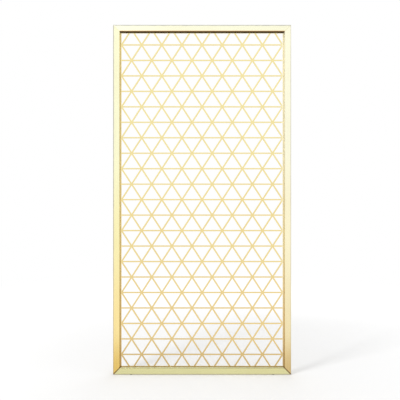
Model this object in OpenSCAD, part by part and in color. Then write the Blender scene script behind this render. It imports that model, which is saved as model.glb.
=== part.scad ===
// Laser cut metal screen: a folded lattice panel screwed into a mitred frame of square tube.
// X runs across the screen, Y from front to back and Z up from the floor, in millimetres.

/* [Frame] */
// Overall width of the frame
frame_w = 1120; // [700:10:1500]
// Overall height of the frame, without the glide pads
frame_h = 2200; // [1400:10:3000]
// Side of the square tube
tube_side = 40; // [34:1:60]
// Wall of the square tube
tube_wall = 1.5; // [1:0.1:2]
// Outer corner radius of the square tube
tube_round = 2.5; // [2.4:0.1:4]
// Open joint line at each mitre
mitre_gap = 0.2; // [0.1:0.05:1]
// Chamfer on the front and back edges of each mitre
mitre_easing = 0.5; // [0.2:0.1:1]
// Chamfer across the frame's outer corners
corner_easing = 0.8; // [0.4:0.1:1.5]

/* [Lattice] */
// Distance between two nodes along a level bar
node_pitch = 127.5; // [80:0.5:200]
// Distance between two level bars
row_pitch = 98; // [60:0.5:180]
// Width of a level bar
level_bar_w = 8.5; // [5:0.1:14]
// Width of a slanting bar
slant_bar_w = 9.5; // [5:0.1:14]
// Plain strip between a stile and the windows
side_border = 10; // [8:0.5:40]
// Plain strip between a rail and the windows
end_border = 6; // [5:0.5:40]

/* [Panel] */
// Thickness of the sheet
sheet_t = 1.5; // [1:0.1:2.5]
// Inside radius of the folds
fold_r = 1.5; // [0.5:0.1:2]
// Depth of the flanges that are folded back, over the sheet
flange_d = 18; // [14:0.5:20]
// Front of the frame to the front of the sheet
recess = 18; // [8:0.5:20]
// Gap between the panel and the tubes
panel_gap = 0.5; // [0.3:0.1:1]
// Notch between the end of a flange and the fold beside it
corner_relief = 1; // [0.5:0.5:15]

/* [Screws] */
// Thread diameter of the screws
screw_d = 4; // [3:0.5:5]
// Diameter of the button heads
head_d = 7.6; // [6:0.1:9]
// Height of the button heads
head_h = 2.2; // [1.5:0.1:2.6]
// Height of a button head's straight rim
head_rim_h = 0.6; // [0.3:0.1:0.8]
// Diameter of the flat top of a button head
head_top_d = 4.4; // [3.6:0.1:5]
// Size of the hexagon socket across its corners
socket_d = 2.9; // [2:0.1:3.5]
// Depth of the hexagon socket
socket_depth = 1.3; // [0.8:0.1:1.4]
// Length of the screws under the head
screw_len = 10; // [8:0.5:16]
// Distance from the corner of the opening to the first screw
screw_inset = 40; // [30:1:50]
// Screws along a side of the panel, with the two in the corner keys
side_screws = 9; // [5:1:13]
// Screws along an end of the panel, with the two in the corner keys
end_screws = 5; // [3:1:9]
// Running clearance around a shank in its hole
screw_clearance = 0.05; // [0.05:0.05:0.2]

/* [Panel rivet nuts] */
// Body diameter of a panel rivet nut
panel_nut_d = 6; // [5.8:0.1:7]
// Collar diameter of a panel rivet nut
panel_nut_collar_d = 8.5; // [8:0.1:10]
// Length of a panel rivet nut under its collar
panel_nut_len = 9; // [7:0.5:14]
// Diameter of the bulge behind the wall
panel_nut_bulge_d = 8; // [7.6:0.1:9]
// Length of the bulge behind the wall
panel_nut_bulge_len = 3; // [2:0.5:5]

/* [Fixing nuts] */
// Tapping size of the fixing nuts' threads
fixing_bore_d = 6.8; // [5:0.1:8.5]
// Body diameter of a fixing nut
fixing_nut_d = 11; // [10:0.1:13]
// Collar diameter of a fixing nut
fixing_collar_d = 16; // [14:0.5:18]
// Collar height of a fixing nut
fixing_collar_h = 1; // [0.5:0.1:1.5]
// Length of a fixing nut under its collar
fixing_nut_len = 17; // [14:0.5:20]
// Diameter of a fixing nut's bulge behind the wall
fixing_bulge_d = 14; // [13.2:0.1:15]
// Length of a fixing nut's bulge behind the wall
fixing_bulge_len = 5; // [3:0.5:8]
// Middle of a glide pad to the middle of the fixing nut beside it
fixing_past_pad = 48; // [25:1:120]

/* [Corner keys] */
// Length of each arm past the corner of the opening
key_arm_len = 62; // [60:1:100]
// Wall of the hollow arms
key_wall = 5; // [3:0.5:8]
// Clearance between a key and the inside of the tube
key_clearance = 0.3; // [0.2:0.05:0.6]
// Solid web of a key between its corner and its hollow arms
key_web = 6; // [3:0.5:12]
// Length of the tapered tip of an arm
key_tip_len = 6; // [3:0.5:10]
// Taper of each face of an arm's tip, across it
key_tip_taper = 1; // [0.5:0.1:2]

/* [Glide pads] */
// Width of a pad along the rail
pad_w = 12; // [8:1:30]
// Depth of a pad across the rail
pad_d = 34; // [20:1:34]
// Height of a pad under the rail
pad_h = 3; // [2:0.5:8]
// Corner radius of a pad
pad_round = 3; // [1:0.5:4]
// Chamfer round the foot of a pad
pad_easing = 0.6; // [0.3:0.1:1]
// Diameter of a pad's stem
stem_d = 6; // [4:0.5:10]
// Diameter of the barb behind the wall
barb_d = 7.2; // [6.8:0.1:12]
// Length of the tapered barb
barb_len = 6; // [4:0.5:10]
// End of a corner key's arm to the middle of the pad beside it
pad_past_key = 10; // [8:1:100]

/* [Hidden] */
$fn = 48;

// Four sides of the frame, in the order of quarter turns about Y from the bottom
SIDES = ["bottom", "left", "top", "right"];

// Amount by which a cutting shape passes the face that it cuts
over = 1;

opening_w = frame_w - 2 * tube_side;
opening_h = frame_h - 2 * tube_side;
middle_z = pad_h + frame_h / 2;
panel_w = opening_w - 2 * panel_gap;
panel_h = opening_h - 2 * panel_gap;

// Middle of the screen to each glide pad and to each fixing nut
pad_x = frame_w / 2 - tube_side - key_arm_len - pad_past_key;
fixing_x = pad_x - fixing_past_pad;

// Front and back of the sheet, and the back edge of its flanges
sheet_front = recess - tube_side / 2;
fold_out_r = fold_r + sheet_t;
flange_back = sheet_front + flange_d;
screw_y = (sheet_front + fold_out_r + flange_back) / 2;

// Window field, and the slanting bars' angle from level
field_w = opening_w - 2 * side_border;
field_h = opening_h - 2 * end_border;
slant = atan2(row_pitch, node_pitch / 2);
bars_up = ceil(field_h / 2 / row_pitch);
gaps_out = ceil(field_w / 2 / node_pitch) + 1;

// Sizes of one window: half its level side, and its height from the bar's middle line to its tip
window_half = node_pitch / 2 * (1 - level_bar_w / 2 / row_pitch) - slant_bar_w / 2 / sin(slant);
window_tip = row_pitch - slant_bar_w / 2 / cos(slant);
smallest_window = level_bar_w * level_bar_w;

// Ball whose surface passes through a button head's rim and the edge of its flat top
dome_middle = ((head_top_d * head_top_d - head_d * head_d) / 4 + head_h * head_h - head_rim_h * head_rim_h)
    / 2 / (head_h - head_rim_h);
dome_r = norm([head_d / 2, head_rim_h - dome_middle]);

GOLD = [0.90, 0.80, 0.60];
SATIN_GOLD = [0.93, 0.87, 0.74];
ZINC = [0.74, 0.75, 0.77];
NYLON = [0.20, 0.20, 0.21];
RUBBER = [0.08, 0.08, 0.08];

function is_level(side) = side == "bottom" || side == "top";
function turn_of(side) = 90 * search([side], SIDES)[0];

// Overall length of the tube on a side, the opening's length there, and its count of screws
function span(side) = is_level(side) ? frame_w : frame_h;
function opening(side) = is_level(side) ? opening_w : opening_h;
function screw_count(side) = is_level(side) ? end_screws : side_screws;

// Half the frame's size square to a side
function reach(side) = is_level(side) ? frame_h / 2 : frame_w / 2;

// Places of the screws along a side, and the two at its ends that hold the corner keys
function screw_step(side) = (opening(side) - 2 * screw_inset) / (screw_count(side) - 1);
function screw_places(side) = [
    for (i = [1 : screw_count(side) - 2]) screw_inset - opening(side) / 2 + i * screw_step(side)
];
function key_screw_places(side) = [for (end = [-1, 1]) end * (opening(side) / 2 - screw_inset)];

// Outline points on the near side of a line, with new points where edges cross it
function trimmed(points, normal, limit) = [
    for (i = [0 : len(points) - 1])
        let (
            a = points[i],
            b = points[(i + 1) % len(points)],
            a_past = a * normal - limit,
            b_past = b * normal - limit,
            crosses = a_past * b_past < 0
        )
        each concat(
            a_past <= 0 ? [a] : [],
            crosses ? [a + (b - a) * a_past / (a_past - b_past)] : []
        )
];

// Outline cut to the window field, one edge of the field after another
function in_field(points, edges, i = 0) =
    i == len(edges) || len(points) < 3 ? points
    : in_field(trimmed(points, edges[i][0], edges[i][1]), edges, i + 1);
FIELD_EDGES = [
    [[1, 0], field_w / 2], [[-1, 0], field_w / 2],
    [[0, 1], field_h / 2], [[0, -1], field_h / 2]
];

function twice_area(points, i = 0) =
    i == len(points) ? 0
    : let (a = points[i], b = points[(i + 1) % len(points)])
      a[0] * b[1] - a[1] * b[0] + twice_area(points, i + 1);

// One window over (up = 1) or under (up = -1) the level bar at height z, round the middle x
function window(x, z, up) = [
    [x - window_half, z + up * level_bar_w / 2],
    [x + window_half, z + up * level_bar_w / 2],
    [x, z + up * window_tip]
];

// All windows of the lattice; a node lies at the middle of the panel, and rows are staggered
function windows() = [
    for (bar = [-bars_up : bars_up], gap = [-gaps_out : gaps_out], up = [-1, 1])
        let (
            stagger = bar % 2 == 0 ? 0.5 : 0,
            whole = window((gap + stagger) * node_pitch, bar * row_pitch, up),
            cut = in_field(whole, FIELD_EDGES)
        )
        if (len(cut) > 2 && abs(twice_area(cut)) / 2 > smallest_window) cut
];

// Places its children on a side: X along the tube, Z from the tube's outer face to the opening
module on_side(side) {
    translate([0, 0, middle_z])
        rotate([0, turn_of(side), 0])
            translate([0, 0, -reach(side)])
                children();
}

// Places its children at a corner: they are drawn for the bottom left one, from its outer corner
module at_corner(right, top) {
    translate([0, 0, middle_z])
        mirror([right ? 1 : 0, 0, 0])
            mirror([0, 0, top ? 1 : 0])
                translate([-frame_w / 2, 0, -frame_h / 2])
                    children();
}

module rounded_square(w, d, r) {
    square([w - 2 * r, d], center = true);
    square([w, d - 2 * r], center = true);
    for (x = [-1, 1], y = [-1, 1])
        translate([x * (w / 2 - r), y * (d / 2 - r)])
            circle(r);
}

// Cylinder along Z between two heights
module rod(d, from, to) {
    translate([0, 0, from])
        cylinder(d = d, h = to - from);
}

// Rivet nut set in a wall: the collar stands on the face at Z = 0 and the body hangs below it
module rivet_nut(body_d, collar_d, collar_h, body_len, bulge_d, bulge_len, bore_d) {
    difference() {
        union() {
            rod(collar_d, 0, collar_h);
            rod(body_d, -body_len, collar_h / 2);
            rod(bulge_d, -tube_wall - bulge_len, -tube_wall);
        }
        rod(bore_d, -body_len - over, collar_h + over);
    }
}

// Button head screw, its head standing on Z = 0
module button_screw() {
    difference() {
        union() {
            intersection() {
                rod(head_d, 0, head_h);
                translate([0, 0, dome_middle])
                    sphere(dome_r);
            }
            rod(screw_d, -screw_len, head_h / 2);
        }
        translate([0, 0, head_h - socket_depth])
            cylinder(d = socket_d, h = socket_depth + over, $fn = 6);
    }
}

// Hole through the tube's inner wall, on a side's own axes
module inner_wall_hole(x, d) {
    translate([x, screw_y, 0])
        rod(d, tube_side - tube_wall - over, tube_side + over);
}

// Hole through the tube's outer wall
module outer_wall_hole(x, d) {
    translate([x, 0, 0])
        rod(d, -over, tube_wall + over);
}

// Bar along a mitre's edge on the front face, which chamfers it, at the end where X is end_x
module mitre_chamfer(end_x) {
    translate([end_x - tube_side / 2, -tube_side / 2, tube_side / 2])
        rotate([0, 45, 0])
            rotate([45, 0, 0])
                cube([2 * tube_side, mitre_easing * sqrt(2), mitre_easing * sqrt(2)], center = true);
}

// Square tube cut to a mitre at both ends and drilled in its inner wall
module mitred_tube(side) {
    end_x = span(side) / 2 - mitre_gap / sqrt(2);
    eased_x = span(side) / 2 - corner_easing;
    eased_z = (end_x - eased_x) / 2;
    difference() {
        intersection() {
            translate([0, 0, tube_side / 2])
                rotate([0, 90, 0])
                    linear_extrude(span(side), center = true)
                        difference() {
                            rounded_square(tube_side, tube_side, tube_round);
                            rounded_square(
                                tube_side - 2 * tube_wall,
                                tube_side - 2 * tube_wall,
                                tube_round - tube_wall
                            );
                        }
            rotate([90, 0, 0])
                linear_extrude(tube_side + 2 * over, center = true)
                    polygon([
                        [-eased_x + over, -over],
                        [eased_x - over, -over],
                        [eased_x + eased_z, eased_z],
                        [end_x - tube_side - over, tube_side + over],
                        [-end_x + tube_side + over, tube_side + over],
                        [-eased_x - eased_z, eased_z]
                    ]);
        }
        for (end = [0, 1], face = [0, 1])
            mirror([end, 0, 0])
                mirror([0, face, 0])
                    mitre_chamfer(end_x);
        for (x = screw_places(side))
            inner_wall_hole(x, panel_nut_d + 2 * screw_clearance);
        for (x = key_screw_places(side))
            inner_wall_hole(x, screw_d + 2 * screw_clearance);
    }
}

module left_stile() {
    color(GOLD) on_side("left") mitred_tube("left");
}

module right_stile() {
    color(GOLD) on_side("right") mitred_tube("right");
}

module top_rail() {
    color(GOLD)
        on_side("top")
            difference() {
                mitred_tube("top");
                for (x = [-fixing_x, fixing_x])
                    outer_wall_hole(x, fixing_nut_d + 2 * screw_clearance);
            }
}

module bottom_rail() {
    color(GOLD)
        on_side("bottom")
            difference() {
                mitred_tube("bottom");
                for (x = [-fixing_x, fixing_x])
                    outer_wall_hole(x, fixing_nut_d + 2 * screw_clearance);
                for (x = [-pad_x, pad_x])
                    outer_wall_hole(x, stem_d + 2 * screw_clearance);
            }
}

// L-shaped key inside a corner, for the bottom left one: hollow arms along X and Z
module corner_key() {
    inside = tube_side - 2 * tube_wall;
    section = inside - 2 * key_clearance;
    start = tube_wall + key_clearance;
    finish = tube_side + key_arm_len;
    hollow = section - 2 * key_wall;
    hollow_start = tube_side + key_web;
    difference() {
        for (turn = [0, 1])
            arm_axes(turn)
                intersection() {
                    translate([0, 0, start])
                        linear_extrude(finish - start)
                            rounded_square(section, section, tube_round - tube_wall - key_clearance);
                    arm_taper(section / 2, finish, 0);
                    arm_taper(section / 2, finish, 90);
                }
        for (turn = [0, 1])
            arm_axes(turn)
                translate([0, 0, hollow_start])
                    linear_extrude(finish - hollow_start + over)
                        square(hollow, center = true);
        for (turn = [0, 1])
            arm_axes(turn)
                translate([0, screw_y, tube_side + screw_inset])
                    rotate([0, 90, 0])
                        rod(screw_d + 2 * screw_clearance, 0, tube_side);
    }
}

// Space that tapers an arm's tip on two of its faces, which lie at half_w from its middle
module arm_taper(half_w, finish, turn) {
    wide = half_w + key_tip_taper;
    narrow = half_w - 2 * key_tip_taper;
    wide_z = finish - 2 * key_tip_len;
    rotate([90, 0, turn])
        linear_extrude(2 * tube_side, center = true)
            polygon([
                [-wide, 0], [wide, 0], [wide, wide_z],
                [narrow, finish + key_tip_len], [-narrow, finish + key_tip_len], [-wide, wide_z]
            ]);
}

// Axes of a key's arm: Z along the arm, X towards the opening
module arm_axes(turn) {
    translate([tube_side / 2, 0, tube_side / 2])
        multmatrix(turn == 0 ? [[1, 0, 0, 0], [0, 1, 0, 0], [0, 0, 1, 0]]
                             : [[0, 0, 1, 0], [0, 1, 0, 0], [1, 0, 0, 0]])
            translate([0, 0, -tube_side / 2])
                children();
}

module bottom_left_corner_key() {
    color(NYLON) at_corner(false, false) corner_key();
}

module bottom_right_corner_key() {
    color(NYLON) at_corner(true, false) corner_key();
}

module top_left_corner_key() {
    color(NYLON) at_corner(false, true) corner_key();
}

module top_right_corner_key() {
    color(NYLON) at_corner(true, true) corner_key();
}

// Fold and flange along a side of the panel, on the side's own axes
module folded_flange(side) {
    flange_len = opening(side) - 2 * panel_gap - 2 * fold_out_r - 2 * corner_relief;
    outer_z = tube_side + panel_gap;
    rotate([0, 90, 0])
        linear_extrude(flange_len, center = true)
            translate([-outer_z, sheet_front]) {
                intersection() {
                    translate([-fold_out_r, fold_out_r])
                        difference() {
                            circle(fold_out_r);
                            circle(fold_r);
                        }
                    translate([-fold_out_r, 0])
                        square(fold_out_r);
                }
                translate([-sheet_t, fold_out_r])
                    square([sheet_t, flange_d - fold_out_r]);
            }
}

// Sheet with its lattice of windows, folded back along all four edges and notched at the corners
module lattice_panel() {
    color(SATIN_GOLD)
        difference() {
            union() {
                translate([0, sheet_front + sheet_t, middle_z])
                    rotate([90, 0, 0])
                        linear_extrude(sheet_t)
                            difference() {
                                square([panel_w - 2 * fold_out_r, panel_h - 2 * fold_out_r], center = true);
                                for (outline = windows())
                                    polygon(outline);
                            }
                for (side = SIDES)
                    on_side(side) folded_flange(side);
            }
            for (side = SIDES)
                on_side(side)
                    for (x = concat(screw_places(side), key_screw_places(side)))
                        translate([x, screw_y, 0])
                            rod(screw_d + 2 * screw_clearance, tube_side, tube_side + 2 * fold_out_r);
        }
}

module panel_rivet_nuts() {
    color(ZINC)
        for (side = SIDES)
            on_side(side)
                for (x = screw_places(side))
                    translate([x, screw_y, tube_side])
                        rivet_nut(
                            panel_nut_d, panel_nut_collar_d, panel_gap, panel_nut_len,
                            panel_nut_bulge_d, panel_nut_bulge_len, screw_d + 2 * screw_clearance
                        );
}

module panel_screws() {
    color(GOLD)
        for (side = SIDES)
            on_side(side)
                for (x = screw_places(side))
                    translate([x, screw_y, tube_side + panel_gap + sheet_t])
                        button_screw();
}

module corner_key_screws() {
    color(GOLD)
        for (side = SIDES)
            on_side(side)
                for (x = key_screw_places(side))
                    translate([x, screw_y, tube_side + panel_gap + sheet_t])
                        button_screw();
}

// Upright outline of a pad, w wide, with its foot chamfered
module pad_outline(w) {
    polygon([
        [-w / 2, 0], [-w / 2, pad_easing - pad_h], [pad_easing - w / 2, -pad_h],
        [w / 2 - pad_easing, -pad_h], [w / 2, pad_easing - pad_h], [w / 2, 0]
    ]);
}

// Pad with a barbed stem, its top on the rail's outer face
module glide_pad() {
    rotate([90, 0, 0])
        linear_extrude(pad_d - 2 * pad_round, center = true)
            pad_outline(pad_w);
    rotate([90, 0, 90])
        linear_extrude(pad_w - 2 * pad_round, center = true)
            pad_outline(pad_d);
    for (x = [-1, 1], y = [-1, 1])
        translate([x * (pad_w / 2 - pad_round), y * (pad_d / 2 - pad_round), 0]) {
            rod(2 * pad_round, pad_easing - pad_h, 0);
            translate([0, 0, -pad_h])
                cylinder(r1 = pad_round - pad_easing, r2 = pad_round, h = pad_easing);
        }
    rod(stem_d, -pad_h / 2, tube_wall + barb_len / 2);
    translate([0, 0, tube_wall + screw_clearance])
        cylinder(d1 = barb_d, d2 = stem_d * 0.6, h = barb_len);
}

module left_glide_pad() {
    color(RUBBER) on_side("bottom") translate([-pad_x, 0, 0]) glide_pad();
}

module right_glide_pad() {
    color(RUBBER) on_side("bottom") translate([pad_x, 0, 0]) glide_pad();
}

// Two fixing nuts, set in the outer wall of a rail
module fixing_nuts(side) {
    color(ZINC)
        on_side(side)
            for (x = [-fixing_x, fixing_x])
                translate([x, 0, 0])
                    rotate([180, 0, 0])
                        rivet_nut(
                            fixing_nut_d, fixing_collar_d, fixing_collar_h, fixing_nut_len,
                            fixing_bulge_d, fixing_bulge_len, fixing_bore_d
                        );
}

module head_fixing_nuts() {
    fixing_nuts("top");
}

module floor_fixing_nuts() {
    fixing_nuts("bottom");
}

left_stile();
right_stile();
top_rail();
bottom_rail();
top_left_corner_key();
top_right_corner_key();
bottom_left_corner_key();
bottom_right_corner_key();
lattice_panel();
panel_rivet_nuts();
panel_screws();
corner_key_screws();
left_glide_pad();
right_glide_pad();
head_fixing_nuts();
floor_fixing_nuts();
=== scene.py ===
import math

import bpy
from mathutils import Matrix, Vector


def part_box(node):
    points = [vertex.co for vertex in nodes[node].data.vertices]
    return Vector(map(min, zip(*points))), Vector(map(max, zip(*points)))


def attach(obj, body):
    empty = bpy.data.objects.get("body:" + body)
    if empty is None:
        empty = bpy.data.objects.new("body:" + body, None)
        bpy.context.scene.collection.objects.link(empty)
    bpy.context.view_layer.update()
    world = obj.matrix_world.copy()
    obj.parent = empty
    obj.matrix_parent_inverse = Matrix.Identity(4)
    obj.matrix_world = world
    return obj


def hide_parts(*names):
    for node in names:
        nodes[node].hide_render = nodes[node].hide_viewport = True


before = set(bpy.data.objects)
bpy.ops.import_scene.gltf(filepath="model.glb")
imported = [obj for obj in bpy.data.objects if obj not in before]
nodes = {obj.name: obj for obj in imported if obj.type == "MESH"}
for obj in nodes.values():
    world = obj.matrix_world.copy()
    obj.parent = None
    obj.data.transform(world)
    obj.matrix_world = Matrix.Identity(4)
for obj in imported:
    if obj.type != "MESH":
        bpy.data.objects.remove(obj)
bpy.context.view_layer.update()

# Looks of the laser cut metal screen: satin champagne gold steel on a pale studio floor.
# Everything is in metres, in the frame's axes: the front faces -Y and Z = 0 is the floor.

# The photograph is a square, and the frame's outer edges lie at these pixel coordinates in it
PHOTO_PX = 400
LEFT_PX, RIGHT_PX = 113.1, 291.1
TOP_PX, BOTTOM_PX = 25.1, 374.2
CAMERA_DISTANCE = 2.8
SENSOR_MM = 36.0

# Places on the screen
tube_low, tube_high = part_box("left_stile")
panel_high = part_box("lattice_panel")[1]
frame_low = Vector((tube_low.x, tube_low.y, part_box("bottom_rail")[0].z))
frame_high = Vector((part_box("right_stile")[1].x, tube_high.y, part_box("top_rail")[1].z))
front_y = tube_low.y
tube_w = tube_high.x - tube_low.x
frame_w = frame_high.x - frame_low.x
frame_h = frame_high.z - frame_low.z
middle_z = (frame_high.z + frame_low.z) / 2

# Heights between which the tone by height passes from one to the next, from the foot up to the head:
# the gold's tone, with painted reflection and shade that darken it towards the foot
FOOT_TO_LOW, LOW_TO_MIDDLE, MIDDLE_TO_HEAD = (0.02, 0.30), (0.25, 0.90), (0.80, 1.55)
# Distances in from the frame's outer edges between which the painted shade along them ends, by how
# much they vary, and the heights over which it grows from its share at the foot to the whole
OUTER_SHADE_BAND, OUTER_SHADE_UNEVEN = (0.003, 0.0075), 0.001
OUTER_SHADE_HEIGHTS, OUTER_SHADE_AT_FOOT = (0.1, 1.0), 0.3
# Distances out from the opening's edge between which the tint beside the panel starts
LIP_BAND = (0.008, 0.002)
# Distances from a mitre joint between which its line and the tint beside it end, by how much those
# of the tint vary, its greatest share, and how far from the foot and the head the joints' fading ends
JOINT_LINE_BAND, JOINT_TINT_BAND, JOINT_UNEVEN = (0.0009, 0.0020), (0.0010, 0.0085), 0.0012
JOINT_TINT_SHARE, JOINT_FADE_INSET = 0.85, 0.2
# Distances in from the panel's edges between which its right strip's painted light starts, and those
# between which the windows' cut walls start
STRIP_BAND = (0.0235, 0.0075)
CUT_FROM_SIDE, CUT_FROM_END = (0.003, 0.006), (0.002, 0.004)
# Height of the dust on the pads
DUST_TOP = 0.0018

# M8 coarse thread of the fixing nuts: its flanks' steepness and how much is cut off its crest, where
# its depth and pitch are 1, and the depth of the chamfers at its two ends
THREAD_MAJOR_R, THREAD_MINOR_R, THREAD_PITCH = 0.0040, 0.00335, 0.00125
THREAD_STEEPNESS, THREAD_CREST, THREAD_CHAMFER = 2.6, 0.25, 0.0008
# Sizes of a fixing nut, whose bulge grips the tube's wall from behind
NUT_BODY_R, NUT_BULGE_R, NUT_BULGE_LEN, NUT_EASE = 0.0055, 0.0070, 0.005, 0.0002
TUBE_WALL = 0.0015
# Mesh columns round a nut, its rings for each turn of the thread, and the angle from which it is sharp
COLUMNS, RINGS_PER_TURN = 40, 8
SHARP_ANGLE = math.radians(35)

# The studio as the camera sees it, where 1 is white: the backdrop, the floor's grey, and the light
# that is added to it near the screen and far away
BACKDROP, FLOOR_SEEN, FLOOR_LIFT, FAR_LIFT = 1.0, 0.6, 0.165, 0.40
# The studio as the metal sees it, with the floor just before and just behind the screen, where painted
# shade makes it dimmer
FRONT_LEVEL, BACK_LEVEL, SIDE_SHADE, TOP_LEVEL = 1.08, 0.92, 0.62, 1.0
FLOOR_FRONT_LEVEL, FLOOR_BACK_LEVEL = 0.84, 0.78
# The floor's grey for all other light
FLOOR_ALBEDO = 0.5
# The floor's side, and the distances on it between which its levels pass into each other: from the
# middle for the camera, and along Y for the metal
FLOOR_SIZE = 60
LIFT_BAND, WHITE_BAND = (0.6, 3.5), (1.5, 4.0)
FLOOR_FRONT_BAND, FLOOR_BACK_BAND = (-0.9, 0.0), (0.0, 1.6)
# The same for the world, as parts of a direction
WORLD_FRONT_BAND, WORLD_SIDE_BAND, WORLD_TOP_BAND = (-0.8, 0.0), (0.55, 0.95), (0.25, 0.7)

# Square lamps: where each stands and looks, its side, and its power in watts
LAMPS = {
    "key": dict(place=(-2.0, -1.8, 5.4), target=(0, 0, 0.9), side=0.8, power=110),
    "fill": dict(place=(3.4, -1.6, 4.4), target=(0, 0, 1.1), side=2.4, power=25),
    "rim": dict(place=(0.8, 2.4, 4.8), target=(0, 0, 1.1), side=2.4, power=30),
}


def srgb(r, g, b):
    """Linear RGBA of a colour given from 0 to 255 in sRGB."""
    def channel(v):
        v /= 255
        return v / 12.92 if v <= 0.04045 else ((v + 0.055) / 1.055) ** 2.4
    return (channel(r), channel(g), channel(b), 1.0)


def grey(level):
    """RGBA of a grey given from 0 to 1."""
    return (level, level, level, 1.0)


# Coating of each tube, with painted reflection, light and shade in it. The front and the recess, which
# is the wall that faces the panel, have tones by height, from the head down to the foot, which differ
# from tube to tube by painted reflection and light; the top rail's dark recess is painted shade under
# it. The
# rest are tints: painted shade on the rounded edges, away from the panel and beside it, painted shade in
# a band along the outer edge, and the lip along the front beside the panel. duller is how much rougher
# the recess is.
TUBES = {
    "left_stile": dict(
        axis="Z",
        front=(srgb(252, 252, 216), srgb(252, 243, 186), srgb(254, 231, 163), srgb(252, 215, 122)),
        recess_shading=(srgb(255, 242, 196), srgb(255, 240, 186), srgb(255, 232, 166), srgb(250, 220, 146)),
        duller=0.55,
        outer_edge_shade=srgb(176, 171, 150),
        inner_edge_shade=srgb(250, 244, 226),
        outer_shade=srgb(216, 214, 232),
    ),
    "right_stile": dict(
        axis="Z",
        front=(srgb(252, 251, 226), srgb(252, 244, 208), srgb(242, 227, 182), srgb(234, 206, 146)),
        recess_shading=(srgb(255, 249, 228), srgb(255, 242, 200), srgb(244, 214, 154), srgb(222, 190, 124)),
        duller=0.55,
        outer_edge_shade=srgb(196, 189, 166),
        inner_edge_shade=srgb(255, 250, 236),
        outer_shade=srgb(244, 244, 251),
    ),
    "top_rail": dict(
        axis="X",
        front=(srgb(254, 254, 226),) * 4,
        # The recess under the rail is dark by painted shade
        recess_shading=(srgb(70, 44, 16),) * 4,
        duller=0.0,
        outer_edge_shade=srgb(164, 159, 140),
        inner_edge_shade=srgb(190, 148, 98),
        outer_shade=srgb(199, 199, 215),
        lip=srgb(255, 234, 214),
    ),
    "bottom_rail": dict(
        axis="X",
        front=(srgb(240, 236, 178),) * 4,
        recess_shading=(srgb(206, 204, 168),) * 4,
        duller=0.55,
        outer_edge_shade=srgb(186, 180, 158),
        inner_edge_shade=srgb(158, 150, 120),
        outer_shade=srgb(214, 214, 230),
    ),
}
# Tones of the tubes' other sides, of the sheet and of its right strip, by height, darker towards the
# foot by painted reflection and shade, with the right strip lighter by painted light; and those of the
# sheet's folded flanges and of the walls of its windows
SIDES = (srgb(248, 244, 208), srgb(247, 236, 188), srgb(243, 226, 168), srgb(238, 214, 150))
SHEET = (srgb(241, 226, 163), srgb(239, 219, 154), srgb(234, 208, 144), srgb(227, 196, 132))
LIT_RIGHT_STRIP = (srgb(250, 243, 206), srgb(247, 235, 190), srgb(238, 219, 168), srgb(227, 200, 144))
FLANGES = srgb(240, 228, 192)
CUT_WALLS = (srgb(150, 130, 90), srgb(190, 170, 124))
JOINT_LINE, JOINT_TINT = srgb(52, 32, 16), srgb(132, 84, 36)


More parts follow.
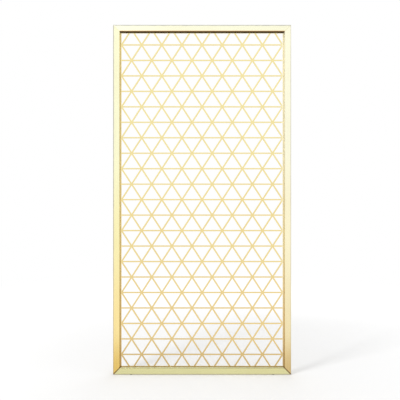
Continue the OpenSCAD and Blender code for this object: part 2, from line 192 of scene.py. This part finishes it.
class Graph:
    """A node tree, with short calls that add nodes and join them."""

    def __init__(self, owner):
        owner.use_nodes = True
        self.tree = owner.node_tree
        self.tree.nodes.clear()

    def add(self, kind, inputs=None, **settings):
        made = self.tree.nodes.new(kind)
        for name, value in settings.items():
            setattr(made, name, value)
        for name, value in (inputs or {}).items():
            self.put(made, name, value)
        return made

    def put(self, target, name, value):
        """Sets an input to a value, or joins another node's output to it."""
        socket = target.inputs[name]
        if isinstance(value, bpy.types.NodeSocket):
            self.tree.links.new(value, socket)
        else:
            socket.default_value = value

    def math(self, operation, a, b=0.0):
        return self.add("ShaderNodeMath", {0: a, 1: b}, operation=operation).outputs[0]

    def size(self, value):
        return self.math("ABSOLUTE", value)

    def ramp(self, value, low, high, out_low=0.0, out_high=1.0):
        """value eased from out_low at low to out_high at high, and held beyond them."""
        made = self.add(
            "ShaderNodeMapRange",
            {"Value": value, "From Min": low, "From Max": high, "To Min": out_low, "To Max": out_high},
            interpolation_type="SMOOTHSTEP",
        )
        return made.outputs["Result"]

    def between(self, share, a, b):
        """The number a, or b as far as share says."""
        return self.add("ShaderNodeMix", {0: share, 2: a, 3: b}).outputs[0]

    def blend(self, kind, share, a, b):
        made = self.add("ShaderNodeMix", {0: share, 6: a, 7: b}, data_type="RGBA", blend_type=kind)
        return made.outputs[2]

    def mix(self, share, a, b):
        """The colour a, or b as far as share says."""
        return self.blend("MIX", share, a, b)

    def tint(self, share, colour, tone):
        """colour multiplied by tone, as far as share says."""
        return self.blend("MULTIPLY", share, colour, tone)

    def noise(self, vector, scale=1.0, detail=2.0, roughness=0.5):
        made = self.add(
            "ShaderNodeTexNoise",
            {"Vector": vector, "Scale": scale, "Detail": detail, "Roughness": roughness},
        )
        return made.outputs["Fac"]

    def stretched(self, vector, x, y, z):
        return self.add("ShaderNodeMapping", {"Vector": vector, "Scale": (x, y, z)}).outputs["Vector"]

    def place(self):
        """The point's place on the screen, whole and as x, y and z."""
        whole = self.add("ShaderNodeTexCoord").outputs["Object"]
        split = self.add("ShaderNodeSeparateXYZ", {"Vector": whole}).outputs
        return whole, split["X"], split["Y"], split["Z"]

    def facing(self):
        """How squarely the surface faces along x, y and z, with signs."""
        normal = self.add("ShaderNodeTexCoord").outputs["Normal"]
        split = self.add("ShaderNodeSeparateXYZ", {"Vector": normal}).outputs
        return split["X"], split["Y"], split["Z"]

    def bump(self, height, strength, distance, under=None):
        """Normal roughened by a height, laid over another bump's normal where one is given."""
        made = self.add("ShaderNodeBump", {"Strength": strength, "Distance": distance, "Height": height})
        if under is not None:
            self.put(made, "Normal", under)
        return made.outputs["Normal"]

    def choose(self, share, a, b):
        """Shader a, or shader b as far as share says."""
        return self.add("ShaderNodeMixShader", {0: share, 1: a.outputs[0], 2: b.outputs[0]})

    def finish(self, shader):
        self.put(self.add("ShaderNodeOutputMaterial"), "Surface", shader.outputs[0])

    def surface(self, colour, roughness, normal, more):
        """Ends the graph with a surface of that colour, roughness and normal, and more inputs."""
        inputs = {"Base Color": colour, "Roughness": roughness, "Normal": normal, **more}
        self.finish(self.add("ShaderNodeBsdfPrincipled", inputs))


def material_graph(name):
    material = bpy.data.materials.new(name)
    return material, Graph(material)


def grain(g, whole, axis, across, along, detail=2.0, roughness=0.5):
    """Noise drawn out along an axis: across and along are features per metre."""
    stretch = (across, across, along) if axis == "Z" else (along, across, across)
    return g.noise(g.stretched(whole, *stretch), detail=detail, roughness=roughness)


def brushed(g, whole, axis, colour, deep=1.0, duller=0.0):
    """Ends a graph with satin metal of that colour, brushed along an axis. deep is how strongly its
    strokes and scratches show, and duller is added to its roughness."""
    strokes = grain(g, whole, axis, across=1250.0, along=5.0, detail=3.0, roughness=0.65)
    scratches = grain(g, whole, axis, across=2400.0, along=32.0, detail=1.0)
    bands = grain(g, whole, axis, across=420.0, along=1.2)
    drift = g.noise(whole, scale=2.3)
    wiped = g.noise(whole, scale=9.0, detail=4.0, roughness=0.6)
    waves = g.noise(whole, scale=3.1, detail=1.0)

    colour = g.tint(g.ramp(strokes, 0.34, 0.66, 0.0, 0.19 * deep), colour, srgb(224, 219, 208))
    colour = g.mix(g.ramp(scratches, 0.64, 0.76, 0.0, 0.20 * deep), colour, srgb(255, 253, 244))
    colour = g.tint(g.ramp(bands, 0.35, 0.65, 0.0, 0.05), colour, srgb(226, 218, 202))
    colour = g.tint(g.ramp(drift, 0.40, 0.70, 0.0, 0.08), colour, srgb(232, 204, 160))

    roughness = g.ramp(strokes, 0.3, 0.7, 0.22, 0.32)
    roughness = g.math("ADD", roughness, g.ramp(wiped, 0.5, 0.75, 0.0, 0.06))
    roughness = g.math("ADD", roughness, duller)
    rolled = g.bump(waves, strength=1.0, distance=0.0012)
    normal = g.bump(strokes, strength=0.25, distance=0.00008, under=rolled)
    tangent = g.add("ShaderNodeTangent", direction_type="RADIAL", axis=axis).outputs["Tangent"]
    g.surface(colour, roughness, normal, {"Metallic": 1.0, "Anisotropic": 0.55, "Tangent": tangent})


def down_the_screen(g, z, tones):
    """The tone by height, with painted reflection and shade that darken it towards the foot: tones are
    at the head, the middle, low down and the foot.
    """
    head, middle, low, foot = tones
    colour = g.mix(g.ramp(z, *FOOT_TO_LOW), foot, low)
    colour = g.mix(g.ramp(z, *LOW_TO_MIDDLE), colour, middle)
    return g.mix(g.ramp(z, *MIDDLE_TO_HEAD), colour, head)


def mitre_joints(g, whole, x, z, colour):
    """Draws the mitre joints: a dark line, with a brown tint beside it that is strongest low down."""
    side = g.math("SUBTRACT", frame_w / 2, g.size(x))
    end = g.math("SUBTRACT", frame_h / 2, g.size(g.math("SUBTRACT", z, middle_z)))
    off = g.size(g.math("SUBTRACT", side, end))
    uneven = g.ramp(g.noise(whole, scale=90.0), 0.3, 0.7, 0.0, JOINT_UNEVEN)
    beside = g.ramp(g.math("ADD", off, uneven), *JOINT_TINT_BAND, JOINT_TINT_SHARE, 0.0)
    low_down = g.ramp(z, JOINT_FADE_INSET, frame_h - JOINT_FADE_INSET, 1.0, 0.0)
    tinted = g.math("MULTIPLY", beside, low_down)
    line = g.math("MULTIPLY", g.ramp(off, *JOINT_LINE_BAND, 1.0, 0.0), low_down)
    return g.mix(line, g.mix(tinted, colour, JOINT_TINT), JOINT_LINE)


def outer_shade_share(g, whole, from_edge, ny, z):
    """How much painted shade the front and back take along their outer edges: only there, and less
    towards the foot.
    """
    uneven = g.ramp(g.noise(whole, scale=34.0, detail=3.0), 0.3, 0.7, -OUTER_SHADE_UNEVEN, OUTER_SHADE_UNEVEN)
    outer_shaded = g.ramp(g.math("ADD", from_edge, uneven), *OUTER_SHADE_BAND, 1.0, 0.0)
    outer_shaded = g.math("MULTIPLY", outer_shaded, g.ramp(g.size(ny), 0.5, 0.9))
    return g.math("MULTIPLY", outer_shaded, g.ramp(z, *OUTER_SHADE_HEIGHTS, OUTER_SHADE_AT_FOOT, 1.0))


def rounded_share(g, nx, ny, nz, axis):
    """How far the surface is on a rounded edge that runs along the axis, and not on a cut end."""
    squarest = g.math("MAXIMUM", g.math("MAXIMUM", g.size(nx), g.size(ny)), g.size(nz))
    endways = g.size(nz if axis == "Z" else nx)
    return g.math("MULTIPLY", g.ramp(squarest, 0.999, 0.95), g.ramp(endways, 0.3, 0.1))


def tube_steel(name, axis, front, recess_shading, duller, outer_edge_shade, inner_edge_shade, outer_shade, lip=None):
    """Gold tube along an axis, coated, and with painted reflection, light and shade, as its row of TUBES
    says.
    """
    material, g = material_graph(name)
    whole, x, _, z = g.place()
    nx, ny, nz = g.facing()
    frontal = g.ramp(ny, -0.5, -0.9)
    colour = g.mix(frontal, down_the_screen(g, z, SIDES), down_the_screen(g, z, front))

    # Distance in from the frame's outer edge, and how squarely the surface faces the panel
    across, turned = (x, nx) if axis == "Z" else (g.math("SUBTRACT", z, middle_z), nz)
    outer_side = (frame_w if axis == "Z" else frame_h) / 2
    from_edge = g.math("SUBTRACT", outer_side, g.size(across))
    inward = g.math("MULTIPLY", g.math("SIGN", across), g.math("MULTIPLY", turned, -1.0))

    # The painted shade in a band along the outer edge, the lip beside the panel, and the painted shade
    # on the rounded edges
    colour = g.tint(outer_shade_share(g, whole, from_edge, ny, z), colour, outer_shade)
    if lip is not None:
        beside = g.ramp(from_edge, tube_w - LIP_BAND[0], tube_w - LIP_BAND[1])
        colour = g.tint(g.math("MULTIPLY", beside, frontal), colour, lip)
    edge = g.mix(g.ramp(inward, -0.1, 0.1), outer_edge_shade, inner_edge_shade)
    colour = g.tint(rounded_share(g, nx, ny, nz, axis), colour, edge)

    # The recess with its painted shade and light, and the joints over all of it
    recessed = g.ramp(inward, 0.75, 0.98)
    colour = g.mix(recessed, colour, down_the_screen(g, z, recess_shading))
    colour = mitre_joints(g, whole, x, z, colour)
    brushed(g, whole, axis, colour, duller=g.math("MULTIPLY", recessed, duller))
    return material


def sheet_steel(name):
    """Laser cut gold sheet: brushed faces, and darker cut walls with stripes that run through them."""
    material, g = material_graph(name)
    whole, x, _, z = g.place()
    ny = g.facing()[1]
    # The right strip is lighter by painted light
    lit_right = g.ramp(x, *(panel_high.x - inset for inset in STRIP_BAND))
    colour = g.mix(lit_right, down_the_screen(g, z, SHEET), down_the_screen(g, z, LIT_RIGHT_STRIP))
    edgewise = g.ramp(g.size(ny), 0.7, 0.3)
    colour = g.mix(edgewise, colour, FLANGES)

    panel_top = panel_high.z - middle_z
    up = g.size(g.math("SUBTRACT", z, middle_z))
    inside_x = g.ramp(g.size(x), *(panel_high.x - inset for inset in CUT_FROM_SIDE))
    inside_z = g.ramp(up, *(panel_top - inset for inset in CUT_FROM_END))
    cut = g.math("MULTIPLY", g.math("MULTIPLY", inside_x, inside_z), edgewise)
    stripes = g.noise(g.stretched(whole, 2600.0, 60.0, 2600.0))
    walls = g.mix(g.ramp(stripes, 0.35, 0.65), *CUT_WALLS)
    brushed(g, whole, "Z", g.mix(cut, colour, walls), deep=0.6)
    return material


def screw_steel(name):
    """Gold coated screws: a finer, rounder satin, worn paler at their rims."""
    material, g = material_graph(name)
    whole = g.place()[0]
    fine = g.noise(whole, scale=1900.0, detail=3.0)
    mottle = g.noise(whole, scale=160.0, detail=3.0)
    rims = g.ramp(g.add("ShaderNodeNewGeometry").outputs["Pointiness"], 0.52, 0.60)
    colour = g.mix(g.ramp(mottle, 0.35, 0.65), srgb(222, 196, 140), srgb(208, 178, 120))
    colour = g.mix(rims, colour, srgb(236, 222, 184))
    roughness = g.ramp(fine, 0.3, 0.7, 0.24, 0.36)
    normal = g.bump(fine, strength=0.15, distance=0.00004)
    g.surface(colour, roughness, normal, {"Metallic": 1.0})
    return material


def zinc(name, turned_about=None):
    """Bright zinc plate with a faint yellow and blue passivation, and turning marks round each axis
    that stands at that x, on both sides of the middle."""
    material, g = material_graph(name)
    whole, x, y, _ = g.place()
    bloom = g.noise(whole, scale=240.0, detail=4.0, roughness=0.6)
    fine = g.noise(whole, scale=2600.0)
    colour = g.mix(g.ramp(bloom, 0.36, 0.50), srgb(199, 205, 214), srgb(211, 212, 213))
    colour = g.mix(g.ramp(bloom, 0.52, 0.68), colour, srgb(213, 209, 194))
    height = fine
    if turned_about is not None:
        aside = g.math("SUBTRACT", g.size(x), turned_about)
        radius = g.math("SQRT", g.math("ADD", g.math("POWER", aside, 2.0), g.math("POWER", y, 2.0)))
        outward = g.add("ShaderNodeCombineXYZ", {"X": radius}).outputs["Vector"]
        marks = g.noise(outward, scale=4200.0)
        height = g.math("ADD", marks, g.math("MULTIPLY", fine, 0.4))
    roughness = g.ramp(fine, 0.3, 0.7, 0.22, 0.38)
    normal = g.bump(height, strength=0.25, distance=0.00006)
    g.surface(colour, roughness, normal, {"Metallic": 1.0})
    return material


def glass_filled_nylon(name):
    """Black moulded nylon, with pale glass fibres that lie just under its skin."""
    material, g = material_graph(name)
    whole = g.place()[0]
    fibres = g.noise(g.stretched(whole, 900.0, 900.0, 5200.0))
    flow = g.noise(whole, scale=60.0, detail=3.0)
    colour = g.mix(g.ramp(flow, 0.3, 0.7), srgb(30, 30, 32), srgb(44, 44, 46))
    colour = g.mix(g.ramp(fibres, 0.62, 0.74, 0.0, 0.5), colour, srgb(104, 104, 106))
    roughness = g.ramp(fibres, 0.3, 0.7, 0.62, 0.46)
    normal = g.bump(fibres, strength=0.2, distance=0.00005)
    g.surface(colour, roughness, normal, {})
    return material


def pad_rubber(name):
    """Matt black rubber, dusty towards the floor."""
    material, g = material_graph(name)
    whole, _, _, z = g.place()
    grit = g.noise(whole, scale=1500.0, detail=4.0, roughness=0.6)
    smears = g.noise(g.stretched(whole, 260.0, 60.0, 260.0), detail=3.0)
    colour = g.mix(g.ramp(grit, 0.3, 0.7), srgb(20, 20, 20), srgb(38, 38, 37))
    dust = g.math("MULTIPLY", g.ramp(z, DUST_TOP, 0.0, 0.0, 0.6), g.ramp(smears, 0.35, 0.65))
    colour = g.mix(dust, colour, srgb(112, 106, 98))
    roughness = g.ramp(grit, 0.3, 0.7, 0.70, 0.88)
    normal = g.bump(grit, strength=0.35, distance=0.00008)
    g.surface(colour, roughness, normal, {"Specular IOR Level": 0.4})
    return material


def dress(names, material):
    """Gives CAD nodes one material."""
    for name in names:
        slots = nodes[name].data.materials
        slots.clear()
        slots.append(material)


def column_angle(column):
    return math.tau * column / COLUMNS


def thread_radius(angle, depth):
    """Radius of the M8 thread's surface, at an angle and a depth down the bore."""
    phase = (depth / THREAD_PITCH - angle / math.tau) % 1.0
    flank = min(max(abs(phase - 0.5) * THREAD_STEEPNESS - THREAD_CREST, 0.0), 1.0)
    return THREAD_MINOR_R + (THREAD_MAJOR_R - THREAD_MINOR_R) * flank


def nut_outside(collar_r, collar_h, length):
    """A fixing nut's outline as radius and depth, from the bore's mouth round to its far end."""
    ease = NUT_EASE
    bore_r = THREAD_MAJOR_R + ease
    bulge_start = collar_h + TUBE_WALL
    bulge_end = bulge_start + NUT_BULGE_LEN
    return [
        (bore_r + ease, 0.0), (collar_r - ease, 0.0), (collar_r, ease), (collar_r, collar_h),
        (NUT_BODY_R, collar_h), (NUT_BODY_R, bulge_start), (NUT_BULGE_R - ease, bulge_start),
        (NUT_BULGE_R, bulge_start + ease), (NUT_BULGE_R, bulge_end - ease),
        (NUT_BULGE_R - ease, bulge_end), (NUT_BODY_R, bulge_end), (NUT_BODY_R, length - ease),
        (NUT_BODY_R - ease, length), (bore_r, length),
    ]


def thread_rings(length):
    """Rings of a threaded bore, as radius and depth at each column, from its far end to its mouth."""
    rows = round(length / THREAD_PITCH * RINGS_PER_TURN)
    rings = []
    for row in range(rows, -1, -1):
        depth = length * row / rows
        chamfer = max(THREAD_MINOR_R + THREAD_CHAMFER - min(depth, length - depth), THREAD_MINOR_R)
        radii = [max(thread_radius(column_angle(c), depth), chamfer) for c in range(COLUMNS)]
        rings.append([(radius, depth) for radius in radii])
    return rings


def nut_collar(node):
    """Radius of the collars of a rail's two fixing nuts, and their axes' distance from the middle."""
    low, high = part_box(node)
    collar_r = (high.y - low.y) / 2
    return collar_r, high.x - collar_r


def fixing_nuts(name, node, material):
    """Both M8 rivet nuts of a rail, with cut threads, in place of the plain bored ones."""
    low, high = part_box(node)
    collar_r, axis_x = nut_collar(node)
    up = low.z > middle_z
    face = high.z if up else low.z
    seat = frame_high.z if up else frame_low.z
    inward = -1 if up else 1
    length = high.z - low.z
    outside = nut_outside(collar_r, abs(face - seat), length)
    rings = [[point] * COLUMNS for point in outside] + thread_rings(length)

    points, faces = [], []
    for x in (-axis_x, axis_x):
        start = len(points)
        for ring in rings:
            for c, (r, d) in enumerate(ring):
                angle = column_angle(c)
                points.append((x + r * math.cos(angle), r * math.sin(angle), face + inward * d))
        for i in range(len(rings)):
            here = start + i * COLUMNS
            there = start + (i + 1) % len(rings) * COLUMNS
            for c in range(COLUMNS):
                after = (c + 1) % COLUMNS
                quad = (here + c, here + after, there + after, there + c)
                faces.append(quad if up else quad[::-1])

    mesh = bpy.data.meshes.new(name)
    mesh.from_pydata(points, [], faces)
    mesh.polygons.foreach_set("use_smooth", [True] * len(faces))
    mesh.set_sharp_from_angle(angle=SHARP_ANGLE)
    mesh.materials.append(material)
    piece = bpy.data.objects.new(name, mesh)
    bpy.context.scene.collection.objects.link(piece)
    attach(piece, "root")
    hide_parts(node)


def studio_floor():
    """Pale floor. The camera sees it white with its shadow; metal sees it dimmer near the screen, by
    painted shade.
    """
    bpy.ops.mesh.primitive_plane_add(size=FLOOR_SIZE, location=(0, 0, 0))
    floor = bpy.context.object
    floor.name = "studio_floor"
    material, g = material_graph("studio_floor")
    rays = g.add("ShaderNodeLightPath").outputs
    whole, _, y, _ = g.place()

    # As the camera sees it
    away = g.add("ShaderNodeVectorMath", {0: whole}, operation="LENGTH").outputs["Value"]
    shaded = g.add("ShaderNodeBsdfDiffuse", {"Color": grey(FLOOR_SEEN)})
    lift = g.add("ShaderNodeEmission", {"Strength": g.ramp(away, *LIFT_BAND, FLOOR_LIFT, FAR_LIFT)})
    near = g.add("ShaderNodeAddShader", {0: shaded.outputs[0], 1: lift.outputs[0]})
    far = g.add("ShaderNodeEmission", {"Strength": BACKDROP})
    seen = g.choose(g.ramp(away, *WHITE_BAND), near, far)

    # As the metal sees it, dimmer near the screen by painted shade, and as all other light meets it
    front = g.ramp(y, *FLOOR_FRONT_BAND, FRONT_LEVEL, FLOOR_FRONT_LEVEL)
    back = g.ramp(y, *FLOOR_BACK_BAND, FLOOR_BACK_LEVEL, BACK_LEVEL)
    level = g.between(g.math("GREATER_THAN", y, 0.0), front, back)
    reflected = g.add("ShaderNodeEmission", {"Strength": level})
    bare = g.add("ShaderNodeBsdfDiffuse", {"Color": grey(FLOOR_ALBEDO)})
    other = g.choose(rays["Is Glossy Ray"], bare, reflected)

    g.finish(g.choose(rays["Is Camera Ray"], other, seen))
    floor.data.materials.append(material)


def studio_world():
    """White to the camera. To the metal it is bright in front and above, and dimmer at the back."""
    world = bpy.data.worlds.new("studio")
    bpy.context.scene.world = world
    g = Graph(world)
    rays = g.add("ShaderNodeLightPath").outputs
    way = g.add("ShaderNodeTexCoord").outputs["Generated"]
    split = g.add("ShaderNodeSeparateXYZ", {"Vector": way}).outputs
    around = g.ramp(split["Y"], *WORLD_FRONT_BAND, FRONT_LEVEL, BACK_LEVEL)
    aside = g.ramp(g.size(split["X"]), *WORLD_SIDE_BAND, 1.0, SIDE_SHADE)
    above = g.ramp(split["Z"], *WORLD_TOP_BAND)
    level = g.between(above, g.math("MULTIPLY", around, aside), TOP_LEVEL)
    strength = g.between(rays["Is Camera Ray"], level, BACKDROP)
    white = g.add("ShaderNodeBackground", {"Color": grey(1.0), "Strength": strength})
    g.put(g.add("ShaderNodeOutputWorld"), "Surface", white.outputs[0])


def lamp(name, place, target, side, power):
    """A soft square lamp that looks at target."""
    data = bpy.data.lights.new(name, "AREA")
    data.size = side
    data.energy = power
    made = bpy.data.objects.new(name, data)
    bpy.context.scene.collection.objects.link(made)
    made.location = place
    made.rotation_euler = (Vector(target) - Vector(place)).to_track_quat("-Z", "Y").to_euler()


def camera():
    """Square-on camera whose view puts the frame's edges where the photograph has them."""
    px = frame_w / (RIGHT_PX - LEFT_PX)
    data = bpy.data.cameras.new("camera")
    data.sensor_width = SENSOR_MM
    data.lens = SENSOR_MM * CAMERA_DISTANCE / (PHOTO_PX * px)
    made = bpy.data.objects.new("camera", data)
    bpy.context.scene.collection.objects.link(made)
    off_x = ((LEFT_PX + RIGHT_PX) / 2 - PHOTO_PX / 2) * px
    off_z = ((TOP_PX + BOTTOM_PX) / 2 - PHOTO_PX / 2) * px
    made.location = (-off_x, front_y - CAMERA_DISTANCE, middle_z + off_z)
    made.rotation_euler = (math.radians(90), 0, 0)
    bpy.context.scene.camera = made


for tube, coating in TUBES.items():
    dress([tube], tube_steel("gold_" + tube, **coating))
dress(["lattice_panel"], sheet_steel("gold_sheet"))
dress(["panel_screws", "corner_key_screws"], screw_steel("gold_screw"))
dress(["panel_rivet_nuts"], zinc("zinc"))
dress([name for name in nodes if name.endswith("corner_key")], glass_filled_nylon("nylon"))
dress(["left_glide_pad", "right_glide_pad"], pad_rubber("rubber"))
turned_zinc = zinc("turned_zinc", turned_about=nut_collar("head_fixing_nuts")[1])
fixing_nuts("head_fixing_threads", "head_fixing_nuts", turned_zinc)
fixing_nuts("floor_fixing_threads", "floor_fixing_nuts", turned_zinc)

studio_floor()
studio_world()
for name, settings in LAMPS.items():
    lamp(name, **settings)
camera()
bpy.context.scene.view_settings.view_transform = "Standard"
